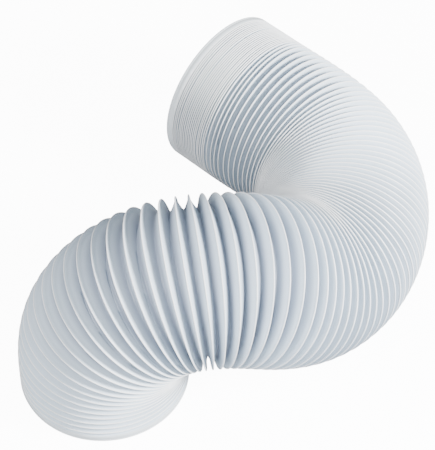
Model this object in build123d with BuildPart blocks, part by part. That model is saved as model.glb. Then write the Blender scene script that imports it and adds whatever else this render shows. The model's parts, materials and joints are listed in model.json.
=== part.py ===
"""Flexible air duct: a pleated plastic hose, laid in an S.

One end stands mouth down on the floor. The duct rises from it, arches over, comes down to the
floor, turns back in a flat bend and ends lying on the floor with its last pleats pressed together.

Millimetres, +Z up. The origin is the centre of the standing mouth, on the floor, and the first
stretch rises along +Z. The wall is a strip of film folded into V pleats, whose edges are hooked
together in a narrow seam at each crest. One turn of that seam is rigid at each station, and the
pleats between two stations are one node, which bends or stretches.
"""

import math
import os

from build123d import *

# Driving dimensions
CREST_R = 75.0          # outside of the seam at a crest
BORE_R = 62.5           # clear radius inside the valleys, the nominal 125 mm size
FILM = 0.35             # thickness of the folded film
SEAM_WIDTH = 0.8        # hooked seam, measured along the duct
SEAM_DEPTH = 4.0        # hooked seam, measured from the crest inwards
BAND_WIDTH = 7.0        # plain band at each mouth
BAND_WALL = 1.0

# Centre line: the turning points it passes through, from the standing mouth to the lying one
ROUTE = [
    (0, 0, 0), (0, 0, 24), (7, 0.5, 64), (26, 1.5, 93), (54, 3.5, 112), (88, 6.5, 119),
    (121, 12, 114), (150, 21.5, 99.5), (177, 40, 84), (200, 69, 77), (212, 102, 75.5),
    (214, 136, 75.3), (205, 171, 75.2), (184, 202, 75.1), (144, 240, 75), (103, 278, 75),
]
START_HEADING = (0, 0, 1)
END_HEADING = (-0.733, 0.68, 0)
# Any direction that the route never runs along: it keeps the sections from twisting
STEADY = Vector(0.3, -0.8, 0.5)

# Stretches of the duct, in order: the share of pleats in each node, and the pitch of the pleats
STRETCHES = [
    ("standing run", [5, 4], 6.9),
    ("arch", [2, 2, 2, 2, 2, 2, 2, 2, 3], 8.4),
    ("descent", [3, 3, 3, 2], 6.3),
    ("floor bend", [4, 3, 3, 4, 3, 4, 3, 4], 5.14),
    ("lying run", [4, 5], 7.0),
    ("closing pleats", [3], 4.1),
]
PRESSED_PLEATS = [10, 10]   # the last stretch takes up the rest of the route

with BuildLine():
    route = Spline(*ROUTE, tangents=[START_HEADING, END_HEADING])


def square_plane(distance):
    """The plane square to the route at a distance along it, facing along the route."""
    heading = route.tangent_at(distance, position_mode=PositionMode.LENGTH)
    return Plane(
        origin=route.position_at(distance, position_mode=PositionMode.LENGTH),
        x_dir=heading.cross(STEADY),
        z_dir=heading,
    )


# Spans: the pleats between one station and the next, and the distance at which each one ends
span_pleats = [count for _, counts, _ in STRETCHES for count in counts] + PRESSED_PLEATS
station_at = [BAND_WIDTH]
for _, counts, pitch in STRETCHES:
    for count in counts:
        station_at.append(station_at[-1] + count * pitch)
pressed_length = route.length - BAND_WIDTH - station_at[-1]
for count in PRESSED_PLEATS:
    station_at.append(station_at[-1] + pressed_length * count / sum(PRESSED_PLEATS))
# The bands are straight, so the first and the last station lie on their inner faces
standing_mouth, lying_mouth = square_plane(0), square_plane(route.length)
station_planes = [square_plane(distance) for distance in station_at]
station_planes[0] = standing_mouth.offset(BAND_WIDTH)
station_planes[-1] = lying_mouth.offset(-BAND_WIDTH)
LAST = len(span_pleats)


def face_plane(station, side):
    """The face of a station's seam turn: side 1 faces on along the route, -1 faces back."""
    if station in (0, LAST):
        return station_planes[station]
    return station_planes[station].offset(side * SEAM_WIDTH / 2)


def end_band(mouth, into_duct):
    """Plain band, hollow on the pleats' side; into_duct is 1 where the route starts, -1 where it ends."""
    with BuildPart() as band:
        with BuildSketch(mouth):
            Circle(CREST_R)
            Circle(BORE_R, mode=Mode.SUBTRACT)
        extrude(amount=into_duct * BAND_WIDTH)
        with BuildSketch(mouth.offset(into_duct * BAND_WALL)):
            Circle(CREST_R - BAND_WALL)
            Circle(BORE_R + BAND_WALL, mode=Mode.SUBTRACT)
        extrude(amount=into_duct * (BAND_WIDTH - BAND_WALL), mode=Mode.SUBTRACT)
    return band.part


def seam_turn(station):
    """One turn of the hooked seam at a crest."""
    with BuildPart() as turn:
        with BuildSketch(station_planes[station]):
            Circle(CREST_R)
            Circle(CREST_R - SEAM_DEPTH, mode=Mode.SUBTRACT)
        extrude(amount=SEAM_WIDTH / 2, both=True)
    return turn.part


def pleated_span(first, pleats):
    """V pleats of thin film from one station to the next, crest to crest."""
    fold_depth = CREST_R - BORE_R
    start, end = station_at[first], station_at[first + 1]
    fold_step = (end - start) / (2 * pleats)
    # The film's thickness, measured towards the axis on its slanting flanks
    radial_film = FILM * math.hypot(fold_step, fold_depth) / fold_step
    with BuildPart() as span:
        for fold in range(2 * pleats + 1):
            if fold == 0:
                section = face_plane(first, 1)
            elif fold == 2 * pleats:
                section = face_plane(first + 1, -1)
            else:
                section = square_plane(start + fold * fold_step)
            outside_r = CREST_R if fold % 2 == 0 else BORE_R + radial_film
            with BuildSketch(section):
                Circle(outside_r)
                Circle(outside_r - radial_film, mode=Mode.SUBTRACT)
        loft(ruled=True)
    return span.part


def save(part, name):
    """Labels a finished piece and writes it to its own file."""
    part.label = name
    export_step(part, f"parts/{name}.step")


os.makedirs("parts", exist_ok=True)

save(end_band(standing_mouth, 1), "standing_end_band")
save(end_band(lying_mouth, -1), "lying_end_band")

for station in range(1, LAST):
    save(seam_turn(station), f"seam_turn_{station:02d}")

for first, pleats in enumerate(span_pleats):
    save(pleated_span(first, pleats), f"pleats_{first + 1:02d}")
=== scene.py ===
"""Flexible air duct: the look of a pleated plastic hose laid in an S.

The pleated film and the hooked seam along its crests are helices. Both are made span by span between
the duct's stations, by two Geometry Nodes trees that share the same bent tube space, so that a span
ends exactly where the next one starts and bends with it.
"""

import json
import math

import bpy
import numpy as np
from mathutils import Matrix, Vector


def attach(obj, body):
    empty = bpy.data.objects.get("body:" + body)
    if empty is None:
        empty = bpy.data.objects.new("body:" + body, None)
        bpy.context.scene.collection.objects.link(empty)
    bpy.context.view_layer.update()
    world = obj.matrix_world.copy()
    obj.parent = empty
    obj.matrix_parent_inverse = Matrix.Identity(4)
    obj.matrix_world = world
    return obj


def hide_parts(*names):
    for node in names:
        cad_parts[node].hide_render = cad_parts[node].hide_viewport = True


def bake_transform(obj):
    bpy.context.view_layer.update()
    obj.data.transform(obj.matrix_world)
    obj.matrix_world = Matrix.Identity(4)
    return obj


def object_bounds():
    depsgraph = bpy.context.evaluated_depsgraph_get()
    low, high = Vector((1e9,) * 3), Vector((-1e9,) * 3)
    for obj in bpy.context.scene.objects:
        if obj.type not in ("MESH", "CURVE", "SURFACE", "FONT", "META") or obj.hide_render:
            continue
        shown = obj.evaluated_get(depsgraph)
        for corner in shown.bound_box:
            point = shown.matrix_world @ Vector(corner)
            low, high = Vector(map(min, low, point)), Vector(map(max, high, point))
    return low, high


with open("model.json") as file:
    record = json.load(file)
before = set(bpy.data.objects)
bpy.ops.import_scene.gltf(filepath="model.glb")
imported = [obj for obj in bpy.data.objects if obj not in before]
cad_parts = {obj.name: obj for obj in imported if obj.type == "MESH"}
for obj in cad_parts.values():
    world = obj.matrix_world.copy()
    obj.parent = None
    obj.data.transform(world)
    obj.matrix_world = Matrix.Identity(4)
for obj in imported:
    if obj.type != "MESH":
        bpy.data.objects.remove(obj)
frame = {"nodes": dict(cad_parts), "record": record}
cad_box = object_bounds()

# Sizes in metres
CREST_R = 0.075          # outside of the seam
BORE_R = 0.0625          # clear radius inside the valleys
BAND_WIDTH = 0.007       # plain band at each mouth
FILM = 0.00035           # folded film
SEAM_WIDTH = 0.0009      # hooked seam, measured along the duct
SEAM_HEIGHT = 0.0032     # how far the doubled edge stands above the open fold
COLUMNS = 132            # facets round the film
SEAM_COLUMNS = 96        # facets round the seam
SEAM_HALF = 0.0006       # half the height of the seam's rounded strip
BAND_WALL = 0.001        # wall of an end band
BAND_FLOOR = 0.0026      # depth of an end band's closed face, from the mouth
BAND_COLUMNS = 144       # facets round an end band
RUN_OUT = 2.5            # a pleat next to a band runs out within 1 / RUN_OUT of its width
ROWS = 14                # rows of facets across one pleat
STEADY = (0.3, -0.8, 0.5)   # the direction that keeps the sections from twisting

# Pleats between one station and the next, from the standing mouth to the lying one
SPAN_PLEATS = [5, 4] + [2] * 8 + [3] + [3, 3, 3, 2] + [4, 3, 3, 4, 3, 4, 3, 4] + [4, 5] + [3] + [10, 10]
# How uneven the pitch of a span's pleats is, as a share of the pitch
SPAN_UNEVEN = [0.10, 0.08] + [0.07] * 9 + [0.07] * 4 + [0.10] * 8 + [0.12, 0.10] + [0.15] + [0.42, 0.42]
LAST = len(SPAN_PLEATS)


# ---------------------------------------------------------------- the duct's stations, from the frame

def ring_axis(node):
    """Centre and axis of a thin ring, from the points of its mesh."""
    points = np.unique(np.array([v.co for v in frame["nodes"][node].data.vertices]), axis=0)
    centre = points.mean(0)
    _, _, directions = np.linalg.svd(points - centre, full_matrices=False)
    return Vector(centre), Vector(directions[2])


mouths = {mount["name"]: mount for mount in frame["record"]["mounts"]}
out_of_standing = Vector(mouths["standing_mouth"]["axis"])
out_of_lying = Vector(mouths["lying_mouth"]["axis"])
stations = [(Vector(mouths["standing_mouth"]["pos_m"]) - out_of_standing * BAND_WIDTH, -out_of_standing)]
for number in range(1, LAST):
    centre, axis = ring_axis(f"seam_turn_{number:02d}")
    if axis.dot(centre - stations[-1][0]) < 0:
        axis = -axis
    stations.append((centre, axis))
stations.append((Vector(mouths["lying_mouth"]["pos_m"]) - out_of_lying * BAND_WIDTH, out_of_lying))


# ---------------------------------------------------------------- node helpers

class Tree:
    """Short ways to place and join nodes in a tree."""

    def __init__(self, tree):
        self.tree = tree

    def node(self, kind, *links, **settings):
        """A node with its settings; links fill its inputs in order, None leaves one as it is."""
        made = self.tree.nodes.new(kind)
        for name, value in settings.items():
            setattr(made, name, value)
        sockets = [socket for socket in made.inputs if socket.enabled]
        for socket, value in zip(sockets, links):
            self.feed(socket, value)
        return made

    def feed(self, socket, value):
        """Links a socket to another node's output, or sets it to a constant."""
        if isinstance(value, bpy.types.NodeSocket):
            self.tree.links.new(value, socket)
        elif value is not None:
            socket.default_value = value

    def math(self, operation, *values, clamp=False):
        return self.node("ShaderNodeMath", *values, operation=operation, use_clamp=clamp).outputs[0]

    def vector(self, operation, *values):
        made = self.node("ShaderNodeVectorMath", operation=operation)
        for socket, value in zip([s for s in made.inputs if s.enabled], values):
            self.feed(socket, value)
        return next(s for s in made.outputs if s.enabled)

    def scaled(self, vector, factor):
        made = self.node("ShaderNodeVectorMath", operation="SCALE")
        self.feed(made.inputs[0], vector)
        self.feed(made.inputs["Scale"], factor)
        return made.outputs[0]


def new_geometry_tree(name, inputs):
    """An empty geometry tree with named inputs, each (name, socket type, default)."""
    tree = bpy.data.node_groups.new(name, "GeometryNodeTree")
    for label, socket_type, default in inputs:
        socket = tree.interface.new_socket(name=label, in_out="INPUT", socket_type=socket_type)
        if default is not None:
            socket.default_value = default
    return tree


# ---------------------------------------------------------------- the bent tube space, shared by both trees

def build_tube_space():
    """Turns (pleats along a span, angle round, radius) into a point of the bent duct."""
    tree = new_geometry_tree("tube_space", [
        ("Pleat", "NodeSocketFloat", 0.0),
        ("Angle", "NodeSocketFloat", 0.0),
        ("Radius", "NodeSocketFloat", CREST_R),
        ("Pleats", "NodeSocketFloat", 2.0),
        ("Start Centre", "NodeSocketVector", None),
        ("Start Heading", "NodeSocketVector", None),
        ("End Centre", "NodeSocketVector", None),
        ("End Heading", "NodeSocketVector", None),
        ("Unevenness", "NodeSocketFloat", 0.0),
        ("Seed", "NodeSocketFloat", 0.0),
    ])
    tree.interface.new_socket(name="Position", in_out="OUTPUT", socket_type="NodeSocketVector")
    tree.interface.new_socket(name="Heading", in_out="OUTPUT", socket_type="NodeSocketVector")
    tree.interface.new_socket(name="Radial", in_out="OUTPUT", socket_type="NodeSocketVector")
    t = Tree(tree)
    given = t.node("NodeGroupInput").outputs

    # The pitch wanders a little, and comes back at both ends of the span
    share = t.math("DIVIDE", given["Pleat"], given["Pleats"])
    window = t.math("SINE", t.math("MULTIPLY", share, math.pi))
    place = t.node("ShaderNodeCombineXYZ",
                   t.math("MULTIPLY", given["Pleat"], 0.9),
                   t.math("MULTIPLY", t.math("SINE", given["Angle"]), 0.35),
                   t.math("MULTIPLY", t.math("COSINE", given["Angle"]), 0.35)).outputs[0]
    wander = t.node("ShaderNodeTexNoise", noise_dimensions="4D")
    t.feed(wander.inputs["Vector"], place)
    t.feed(wander.inputs["W"], given["Seed"])
    wander.inputs["Scale"].default_value = 1.0
    wander.inputs["Detail"].default_value = 1.0
    shift = t.math("MULTIPLY", t.math("SUBTRACT", wander.outputs[0], 0.5), given["Unevenness"])
    held_at_ends = t.math("MINIMUM", t.math("MULTIPLY", window, 2.0), 1.0)
    shift = t.math("MULTIPLY", t.math("MULTIPLY", shift, 2.0), held_at_ends)
    s = t.math("ADD", share, t.math("DIVIDE", shift, given["Pleats"]), clamp=True)

    # A cubic through both stations, square to each
    chord = t.vector("DISTANCE", given["Start Centre"], given["End Centre"])
    pull_start = t.scaled(given["Start Heading"], chord)
    pull_end = t.scaled(given["End Heading"], chord)
    s2 = t.math("MULTIPLY", s, s)
    s3 = t.math("MULTIPLY", s2, s)
    weight_end = t.math("SUBTRACT", t.math("MULTIPLY", s2, 3.0), t.math("MULTIPLY", s3, 2.0))
    weight_start = t.math("SUBTRACT", 1.0, weight_end)
    weight_pull_start = t.math("ADD", t.math("SUBTRACT", s3, t.math("MULTIPLY", s2, 2.0)), s)
    weight_pull_end = t.math("SUBTRACT", s3, s2)
    centre = t.vector("ADD",
                      t.vector("ADD", t.scaled(given["Start Centre"], weight_start),
                               t.scaled(given["End Centre"], weight_end)),
                      t.vector("ADD", t.scaled(pull_start, weight_pull_start),
                               t.scaled(pull_end, weight_pull_end)))
    slope = t.math("MULTIPLY", t.math("SUBTRACT", s, s2), 6.0)
    s2_slope = t.math("MULTIPLY", s2, 3.0)
    slope_start = t.math("ADD", t.math("SUBTRACT", s2_slope, t.math("MULTIPLY", s, 4.0)), 1.0)
    slope_end = t.math("SUBTRACT", s2_slope, t.math("MULTIPLY", s, 2.0))
    forward = t.scaled(t.vector("SUBTRACT", given["End Centre"], given["Start Centre"]), slope)
    forward = t.vector("ADD", forward, t.vector("ADD", t.scaled(pull_start, slope_start),
                                                t.scaled(pull_end, slope_end)))
    heading = t.vector("NORMALIZE", forward)

    side = t.vector("NORMALIZE", t.vector("CROSS_PRODUCT", heading, STEADY))
    other = t.vector("CROSS_PRODUCT", heading, side)
    radial = t.vector("ADD", t.scaled(side, t.math("COSINE", given["Angle"])),
                      t.scaled(other, t.math("SINE", given["Angle"])))
    position = t.vector("ADD", centre, t.scaled(radial, given["Radius"]))
    result = t.node("NodeGroupOutput").inputs
    t.feed(result["Position"], position)
    t.feed(result["Heading"], heading)
    t.feed(result["Radial"], radial)
    return tree


SPAN_INPUTS = [
    ("Pleats", "NodeSocketInt", 2),
    ("Start Centre", "NodeSocketVector", None),
    ("Start Heading", "NodeSocketVector", None),
    ("End Centre", "NodeSocketVector", None),
    ("End Heading", "NodeSocketVector", None),
    ("Pitch", "NodeSocketFloat", 0.008),
    ("Unevenness", "NodeSocketFloat", 0.0),
    ("Seed", "NodeSocketFloat", 0.0),
    ("Closed Start", "NodeSocketFloat", 0.0),
    ("Closed End", "NodeSocketFloat", 0.0),
    ("Material", "NodeSocketMaterial", None),
]
SHARED_BY_SPACE = ["Start Centre", "Start Heading", "End Centre", "End Heading", "Unevenness", "Seed"]


def place_in_tube(t, space, given, pleat, angle, radius):
    """The tube space group, fed with a span's own inputs."""
    placed = t.node("GeometryNodeGroup", node_tree=space)
    t.feed(placed.inputs["Pleat"], pleat)
    t.feed(placed.inputs["Angle"], angle)
    t.feed(placed.inputs["Radius"], radius)
    t.feed(placed.inputs["Pleats"], given["Pleats"])
    for name in SHARED_BY_SPACE:
        t.feed(placed.inputs[name], given[name])
    return placed.outputs


def numbered_grid(t, columns, rows_total):
    """A flat grid, with its column and row number; the last column lies on the first when bent round."""
    grid = t.node("GeometryNodeMeshGrid", 1.0, 1.0, columns + 1, rows_total).outputs["Mesh"]
    index = t.node("GeometryNodeInputIndex").outputs[0]
    column = t.math("FLOOR", t.math("DIVIDE", t.math("ADD", index, 0.5), rows_total))
    row = t.math("SUBTRACT", index, t.math("MULTIPLY", column, rows_total))
    angle = t.math("MULTIPLY", t.math("DIVIDE", column, float(columns)), math.tau)
    return grid, column, row, angle


def finish_tree(t, mesh, given):
    """Merges the doubled points, sets the finish and ends the tree."""
    t.tree.interface.new_socket(name="Geometry", in_out="OUTPUT", socket_type="NodeSocketGeometry")
    merged = t.node("GeometryNodeMergeByDistance", mesh, None, None).outputs[0]
    merged.node.inputs["Distance"].default_value = 1e-6
    smooth = t.node("GeometryNodeSetShadeSmooth", merged).outputs[0]
    real = t.node("GeometryNodeRealizeInstances", smooth).outputs[0]
    painted = t.node("GeometryNodeSetMaterial", real)
    t.feed(painted.inputs["Material"], given["Material"])
    t.feed(t.node("NodeGroupOutput").inputs["Geometry"], painted.outputs[0])


def build_film_tree(space):
    """V pleats of thin film, wound in a helix and cut square at both stations."""
    tree = new_geometry_tree("pleated_film", SPAN_INPUTS)
    t = Tree(tree)
    given = t.node("NodeGroupInput").outputs
    rows_total = t.math("ADD", t.math("MULTIPLY", t.math("ADD", given["Pleats"], 1.0), float(ROWS)), 1.0)
    grid, column, row, angle = numbered_grid(t, COLUMNS, rows_total)

    # Rows are close together at the crest and even over the flanks
    seam_share = t.math("DIVIDE", SEAM_WIDTH, given["Pitch"])
    flank_share = t.math("SUBTRACT", 1.0, seam_share)
    half = ROWS // 2
    within = t.math("MODULO", row, float(ROWS))
    whole = t.math("FLOOR", t.math("DIVIDE", t.math("ADD", row, 0.01), float(ROWS)))
    step = t.math("ABSOLUTE", t.math("SUBTRACT", within, float(half)))
    flank_step = t.math("DIVIDE", t.math("MINIMUM", step, half - 2.0), half - 2.0)
    past_flank = t.math("MAXIMUM", t.math("SUBTRACT", step, half - 2.0), 0.0)
    top_step = t.math("POWER", t.math("DIVIDE", past_flank, 2.0), 1.7)
    from_valley = t.math("ADD", t.math("MULTIPLY", flank_step, flank_share),
                         t.math("MULTIPLY", top_step, seam_share))
    side = t.math("SIGN", t.math("SUBTRACT", within, float(half)))
    phase = t.math("ADD", t.math("MULTIPLY", t.math("MULTIPLY", side, from_valley), 0.5), 0.5)
    along = t.math("SUBTRACT", t.math("ADD", whole, phase), 1.0)

    turn = t.math("DIVIDE", angle, math.tau)
    pleat = t.math("MINIMUM", t.math("MAXIMUM", t.math("ADD", along, turn), 0.0), given["Pleats"])

    # Radius of the fold at this place
    fold = t.math("FRACT", t.math("ADD", t.math("SUBTRACT", pleat, turn), 10.0))
    openness = t.math("ABSOLUTE", t.math("SUBTRACT", t.math("MULTIPLY", fold, 2.0), 1.0))
    flank = t.math("MINIMUM", t.math("DIVIDE", openness, flank_share), 1.0)
    top = t.math("DIVIDE", t.math("MAXIMUM", t.math("SUBTRACT", openness, flank_share), 0.0), seam_share)
    flare = t.math("POWER", flank, 1.25)
    valley_r = BORE_R + FILM
    base_r = CREST_R - SEAM_HEIGHT
    top_rise = SEAM_HEIGHT - 0.0005
    rise = t.math("SUBTRACT", 1.0, t.math("POWER", t.math("SUBTRACT", 1.0, top), 6.0))
    flank_r = t.math("MULTIPLY_ADD", flare, base_r - valley_r, valley_r)
    radius = t.math("ADD", flank_r, t.math("MULTIPLY", rise, top_rise))
    # At a band the fold runs out to the full radius
    from_start = t.math("SUBTRACT", 1.0, t.math("MULTIPLY", pleat, RUN_OUT), clamp=True)
    to_end = t.math("SUBTRACT", given["Pleats"], pleat)
    from_end = t.math("SUBTRACT", 1.0, t.math("MULTIPLY", to_end, RUN_OUT), clamp=True)
    run_out = t.math("MAXIMUM", t.math("MULTIPLY", from_start, given["Closed Start"]),
                     t.math("MULTIPLY", from_end, given["Closed End"]))
    radius = t.math("ADD", radius,
                    t.math("MULTIPLY", run_out, t.math("SUBTRACT", CREST_R - SEAM_HALF, radius)))

    placed = place_in_tube(t, space, given, pleat, angle, radius)
    shaped = t.node("GeometryNodeSetPosition", grid)
    t.feed(shaped.inputs["Position"], placed["Position"])
    # How deep each point lies in its fold; the film's finish uses it to paint shade into the valleys.
    stored = t.node("GeometryNodeStoreNamedAttribute", shaped.outputs[0], data_type="FLOAT", domain="POINT")
    stored.inputs["Name"].default_value = "fold"
    t.feed(stored.inputs["Value"], t.math("DIVIDE", t.math("SUBTRACT", radius, BORE_R), CREST_R - BORE_R))
    finish_tree(t, stored.outputs[0], given)
    return tree


def build_seam_tree(space):
    """The hooked seam: a rounded strip that winds along the crests."""
    tree = new_geometry_tree("hooked_seam", SPAN_INPUTS)
    t = Tree(tree)
    given = t.node("NodeGroupInput").outputs
    rows = 9
    steps = t.math("MULTIPLY", given["Pleats"], float(SEAM_COLUMNS))
    grid = t.node("GeometryNodeMeshGrid", 1.0, 1.0, None, rows)
    t.feed(grid.inputs["Vertices X"], t.math("ADD", steps, 1.0))
    index = t.node("GeometryNodeInputIndex").outputs[0]
    column = t.math("FLOOR", t.math("DIVIDE", t.math("ADD", index, 0.5), float(rows)))
    row = t.math("SUBTRACT", index, t.math("MULTIPLY", column, float(rows)))
    pleat = t.math("DIVIDE", column, float(SEAM_COLUMNS))
    angle = t.math("MULTIPLY", pleat, math.tau)
    # The section: a flat-sided strip with a rounded outer edge
    round_angle = t.math("MULTIPLY", t.math("DIVIDE", row, rows - 1.0), math.tau)
    across = t.math("MULTIPLY", t.math("SINE", round_angle), SEAM_WIDTH * 0.62)
    out = t.math("MULTIPLY", t.math("COSINE", round_angle), SEAM_HALF)
    placed = place_in_tube(t, space, given, pleat, angle, t.math("ADD", out, CREST_R - SEAM_HALF))
    lift = t.scaled(placed["Heading"], across)
    shaped = t.node("GeometryNodeSetPosition", grid.outputs["Mesh"])
    t.feed(shaped.inputs["Position"], t.vector("ADD", placed["Position"], lift))
    finish_tree(t, shaped.outputs[0], given)
    return tree


# ---------------------------------------------------------------- finishes

def new_shader_group(name, inputs, outputs):
    """An empty shader group with named inputs and outputs, each (name, socket type)."""
    group = bpy.data.node_groups.new(name, "ShaderNodeTree")
    for label, socket_type in inputs:
        group.interface.new_socket(name=label, in_out="INPUT", socket_type=socket_type)
    for label, socket_type in outputs:
        group.interface.new_socket(name=label, in_out="OUTPUT", socket_type=socket_type)
    return group


def build_drawn_film_group():
    """Drawn plastic film: cloudy whiteness, faint scuffs, and a fine grain."""
    group = new_shader_group(
        "drawn_plastic_film",
        [("Pale", "NodeSocketColor"), ("Deep", "NodeSocketColor"), ("Cloud Scale", "NodeSocketFloat"),
         ("Roughness", "NodeSocketFloat")],
        [("Colour", "NodeSocketColor"), ("Roughness", "NodeSocketFloat"), ("Height", "NodeSocketFloat")])
    t = Tree(group)
    given = t.node("NodeGroupInput").outputs
    place = t.node("ShaderNodeTexCoord").outputs["Object"]
    clouds = t.node("ShaderNodeTexNoise")
    t.feed(clouds.inputs["Vector"], place)
    t.feed(clouds.inputs["Scale"], given["Cloud Scale"])
    clouds.inputs["Detail"].default_value = 4.0
    grain = t.node("ShaderNodeTexNoise")
    t.feed(grain.inputs["Vector"], place)
    grain.inputs["Scale"].default_value = 900.0
    grain.inputs["Detail"].default_value = 2.0
    scuffs = t.node("ShaderNodeTexNoise")
    t.feed(scuffs.inputs["Vector"], place)
    scuffs.inputs["Scale"].default_value = 160.0
    scuffs.inputs["Detail"].default_value = 5.0
    scuff_mask = t.node("ShaderNodeMapRange")
    t.feed(scuff_mask.inputs["Value"], scuffs.outputs[0])
    scuff_mask.inputs["From Min"].default_value = 0.60
    scuff_mask.inputs["From Max"].default_value = 0.75
    cloud_mask = t.node("ShaderNodeMapRange")
    t.feed(cloud_mask.inputs["Value"], clouds.outputs[0])
    cloud_mask.inputs["From Min"].default_value = 0.35
    cloud_mask.inputs["From Max"].default_value = 0.70
    mixed = t.node("ShaderNodeMix", data_type="RGBA")
    t.feed(mixed.inputs[0], cloud_mask.outputs[0])
    t.feed(mixed.inputs[6], given["Pale"])
    t.feed(mixed.inputs[7], given["Deep"])
    rough = t.math("ADD", given["Roughness"], t.math("MULTIPLY", scuff_mask.outputs[0], 0.10))
    rough = t.math("ADD", rough, t.math("MULTIPLY", t.math("SUBTRACT", grain.outputs[0], 0.5), 0.08))
    height = t.math("ADD", t.math("MULTIPLY", grain.outputs[0], 0.5),
                    t.math("MULTIPLY", clouds.outputs[0], 0.5))
    result = t.node("NodeGroupOutput").inputs
    t.feed(result["Colour"], mixed.outputs[2])
    t.feed(result["Roughness"], rough)
    t.feed(result["Height"], height)
    return group


def plastic(name, drawn_film, pale, deep, roughness, cloud_scale=22.0, bump=0.00006, painted_fold_shade=None):
    """Satin plastic; for the pleated film, the last argument is painted shade: a dark colour laid into the
    bottom of each fold.
    """
    material = bpy.data.materials.new(name)
    material.use_nodes = True
    t = Tree(material.node_tree)
    shader = material.node_tree.nodes["Principled BSDF"]
    film = t.node("ShaderNodeGroup", node_tree=drawn_film)
    film.inputs["Pale"].default_value = (*pale, 1.0)
    film.inputs["Deep"].default_value = (*deep, 1.0)
    film.inputs["Cloud Scale"].default_value = cloud_scale
    film.inputs["Roughness"].default_value = roughness
    colour = film.outputs["Colour"]
    # Painted shade: towards the bottom of each fold the colour is mixed into a darker one, standing in for
    # the shade between the pleats.
    if painted_fold_shade:
        fold = t.node("ShaderNodeAttribute", attribute_name="fold").outputs["Fac"]
        depth = t.node("ShaderNodeMapRange", interpolation_type="SMOOTHSTEP")
        t.feed(depth.inputs["Value"], fold)
        depth.inputs["From Min"].default_value = 0.0
        depth.inputs["From Max"].default_value = 0.75
        shaded = t.node("ShaderNodeMix", data_type="RGBA")
        t.feed(shaded.inputs[0], depth.outputs[0])
        shaded.inputs[6].default_value = (*painted_fold_shade, 1.0)
        t.feed(shaded.inputs[7], colour)
        colour = shaded.outputs[2]
    t.feed(shader.inputs["Base Color"], colour)
    t.feed(shader.inputs["Roughness"], film.outputs["Roughness"])
    surface = t.node("ShaderNodeBump")
    surface.inputs["Strength"].default_value = 0.35
    surface.inputs["Distance"].default_value = bump
    t.feed(surface.inputs["Height"], film.outputs["Height"])
    t.feed(shader.inputs["Normal"], surface.outputs[0])
    shader.inputs["IOR"].default_value = 1.49
    shader.inputs["Sheen Weight"].default_value = 0.08
    return material


drawn_film = build_drawn_film_group()
# The third colour of the film, (0.27, 0.31, 0.39), is painted shade for the bottoms of its folds.
film_finish = plastic("pleated_film_satin", drawn_film, (0.70, 0.79, 0.87), (0.66, 0.75, 0.83), 0.40,
                      painted_fold_shade=(0.27, 0.31, 0.39))
seam_finish = plastic("hooked_seam_satin", drawn_film, (0.96, 0.97, 0.98), (0.92, 0.94, 0.95), 0.34)
band_finish = plastic("end_band_satin", drawn_film, (0.78, 0.83, 0.86), (0.73, 0.79, 0.82), 0.38,
                      cloud_scale=14.0)


# ---------------------------------------------------------------- the pleated wall, span by span

def evaluated_piece(name, tree, values):
    """A plain mesh piece made by a geometry tree, with its inputs given by name."""
    carrier = bpy.data.objects.new(name + "_carrier", bpy.data.meshes.new(name + "_carrier"))
    bpy.context.scene.collection.objects.link(carrier)
    made_by = carrier.modifiers.new("made_by", "NODES")
    made_by.node_group = tree
    for item in tree.interface.items_tree:
        if item.item_type == "SOCKET" and item.in_out == "INPUT" and item.name in values:
            made_by[item.identifier] = values[item.name]
    graph = bpy.context.evaluated_depsgraph_get()
    mesh = bpy.data.meshes.new_from_object(carrier.evaluated_get(graph))
    carrier.modifiers.remove(made_by)
    bpy.data.objects.remove(carrier)
    mesh.name = name
    piece = bpy.data.objects.new(name, mesh)
    bpy.context.scene.collection.objects.link(piece)
    return piece


def thicken(piece):
    """Gives the film its thickness, inwards."""
    wall = piece.modifiers.new("film_thickness", "SOLIDIFY")
    wall.thickness = FILM
    wall.offset = -1.0
    wall.use_even_offset = False
    wall.use_rim = True


def bend_with_span(piece):
    """The piece's placing is baked into its mesh; the tube space has already bent it between its span's
    stations.
    """
    # In a bend the inner side of each square-cut edge lies past its station's centre
    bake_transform(piece)


space = build_tube_space()
film_tree = build_film_tree(space)
seam_tree = build_seam_tree(space)

for span in range(1, LAST + 1):
    start, start_heading = stations[span - 1]
    end, end_heading = stations[span]
    pleats = SPAN_PLEATS[span - 1]
    values = {
        "Pleats": pleats,
        "Start Centre": start, "Start Heading": start_heading,
        "End Centre": end, "End Heading": end_heading,
        "Pitch": (end - start).length / pleats,
        "Unevenness": SPAN_UNEVEN[span - 1],
        "Seed": 3.7 * span,
        "Closed Start": 1.0 if span == 1 else 0.0,
        "Closed End": 1.0 if span == LAST else 0.0,
    }
    film = evaluated_piece(f"pleated_film_{span:02d}", film_tree, {**values, "Material": film_finish})
    thicken(film)
    bend_with_span(film)
    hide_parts(f"pleats_{span:02d}")
    seam = evaluated_piece(f"crest_seam_{span:02d}", seam_tree, {**values, "Material": seam_finish})
    bend_with_span(seam)
    if span < LAST:
        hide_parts(f"seam_turn_{span:02d}")


# ---------------------------------------------------------------- the end bands

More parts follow.
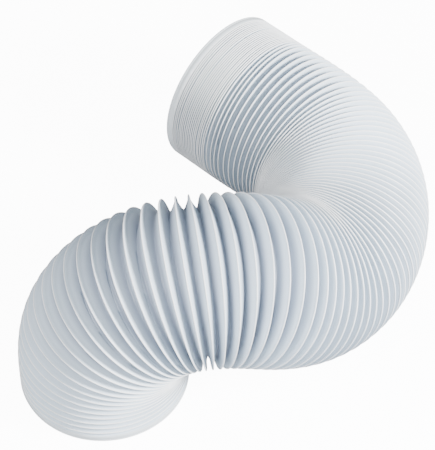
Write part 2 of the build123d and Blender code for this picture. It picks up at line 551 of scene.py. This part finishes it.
def end_band(name, mouth, out, body, node):
    """A plain band with a rolled lip, lathed round the mouth's axis."""
    # Section, from the open groove round the outside and the lip to the socket: (radius, depth)
    section = [(CREST_R - BAND_WALL, BAND_WIDTH), (CREST_R - 0.0003, BAND_WIDTH + 0.0002)]
    section += [(CREST_R, BAND_WIDTH - 0.0004), (CREST_R, 0.0034), (CREST_R - 0.0004, 0.0028),
                (CREST_R - 0.0004, 0.0024), (CREST_R, 0.0018)]
    for step in range(7):
        turn = math.radians(180 * step / 6)
        section.append((CREST_R - 0.0012 + 0.0012 * math.cos(turn), 0.0012 - 0.0012 * math.sin(turn)))
    section += [(CREST_R - 0.0045, 0.0016), (BORE_R + 0.003, 0.0016)]
    for step in range(7):
        turn = math.radians(180 * step / 6)
        section.append((BORE_R + 0.0008 + 0.0008 * math.cos(turn), 0.0008 - 0.0008 * math.sin(turn)))
    section += [(BORE_R, BAND_WIDTH), (BORE_R + BAND_WALL, BAND_WIDTH),
                (BORE_R + BAND_WALL, BAND_FLOOR), (CREST_R - BAND_WALL, BAND_FLOOR)]
    side = out.cross(Vector(STEADY)).normalized()
    other = out.cross(side)
    points, faces = [], []
    for column in range(BAND_COLUMNS):
        angle = math.tau * column / BAND_COLUMNS
        radial = side * math.cos(angle) + other * math.sin(angle)
        points += [mouth + radial * radius - out * depth for radius, depth in section]
    size = len(section)
    for column in range(BAND_COLUMNS):
        ahead = (column + 1) % BAND_COLUMNS
        for step in range(size):
            after = (step + 1) % size
            faces.append((column * size + step, column * size + after,
                          ahead * size + after, ahead * size + step))
    mesh = bpy.data.meshes.new(name)
    mesh.from_pydata(points, [], faces)
    mesh.update()
    piece = bpy.data.objects.new(name, mesh)
    bpy.context.scene.collection.objects.link(piece)
    mesh.materials.append(band_finish)
    mesh.shade_smooth()
    mesh.set_sharp_from_angle(angle=math.radians(50))
    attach(piece, body)
    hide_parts(node)
    return piece


end_band("standing_end_band_lip", Vector(mouths["standing_mouth"]["pos_m"]), out_of_standing,
         "standing_end", "standing_end_band")
end_band("lying_end_band_lip", Vector(mouths["lying_mouth"]["pos_m"]), out_of_lying,
         "lying_end", "lying_end_band")


# ---------------------------------------------------------------- floor, light and camera

def build_floor():
    """A plain floor that shows white, and throws only a little light up at the object."""
    bpy.ops.mesh.primitive_plane_add(size=8.0, location=(0.1, 0.3, -0.0004))
    floor = bpy.context.object
    floor.name = "floor"
    finish = bpy.data.materials.new("floor_paint")
    finish.use_nodes = True
    t = Tree(finish.node_tree)
    shader = finish.node_tree.nodes["Principled BSDF"]
    shader.inputs["Base Color"].default_value = (0.42, 0.44, 0.47, 1.0)
    shader.inputs["Roughness"].default_value = 0.9
    shader.inputs["Emission Color"].default_value = (1.0, 1.0, 1.0, 1.0)
    seen = t.node("ShaderNodeLightPath").outputs["Is Camera Ray"]
    t.feed(shader.inputs["Emission Strength"], t.math("MULTIPLY", seen, 12.0))
    floor.data.materials.append(finish)


def area_light(name, location, target, size, power, colour=(1.0, 1.0, 1.0)):
    """A soft square light that faces its target."""
    light = bpy.data.lights.new(name, "AREA")
    light.size = size
    light.energy = power
    light.color = colour
    lamp = bpy.data.objects.new(name, light)
    lamp.location = location
    lamp.rotation_euler = (Vector(target) - Vector(location)).to_track_quat("-Z", "Y").to_euler()
    bpy.context.scene.collection.objects.link(lamp)


build_floor()
middle = (cad_box[0] + cad_box[1]) / 2
area_light("key_right", (1.45, -0.45, 0.95), middle, 0.45, 112.0)
area_light("fill_left", (-0.8, -0.9, 1.35), middle, 0.7, 42.0)
world = bpy.data.worlds.new("studio")
bpy.context.scene.world = world
world.use_nodes = True
world.node_tree.nodes["Background"].inputs["Color"].default_value = (0.80, 0.89, 1.0, 1.0)
world.node_tree.nodes["Background"].inputs["Strength"].default_value = 0.38

# The camera looks towards +Y and down, 49.87 degrees below the horizon
camera_data = bpy.data.cameras.new("camera")
camera_data.sensor_fit = "HORIZONTAL"
camera_data.sensor_width = 36.0
camera_data.lens = 165.5
camera_data.clip_end = 50.0
camera = bpy.data.objects.new("camera", camera_data)
camera.location = (0.0999, -1.0442, 1.4398)
camera.rotation_euler = (math.radians(90 - 49.87), 0.0, 0.0)
bpy.context.scene.collection.objects.link(camera)
bpy.context.scene.camera = camera
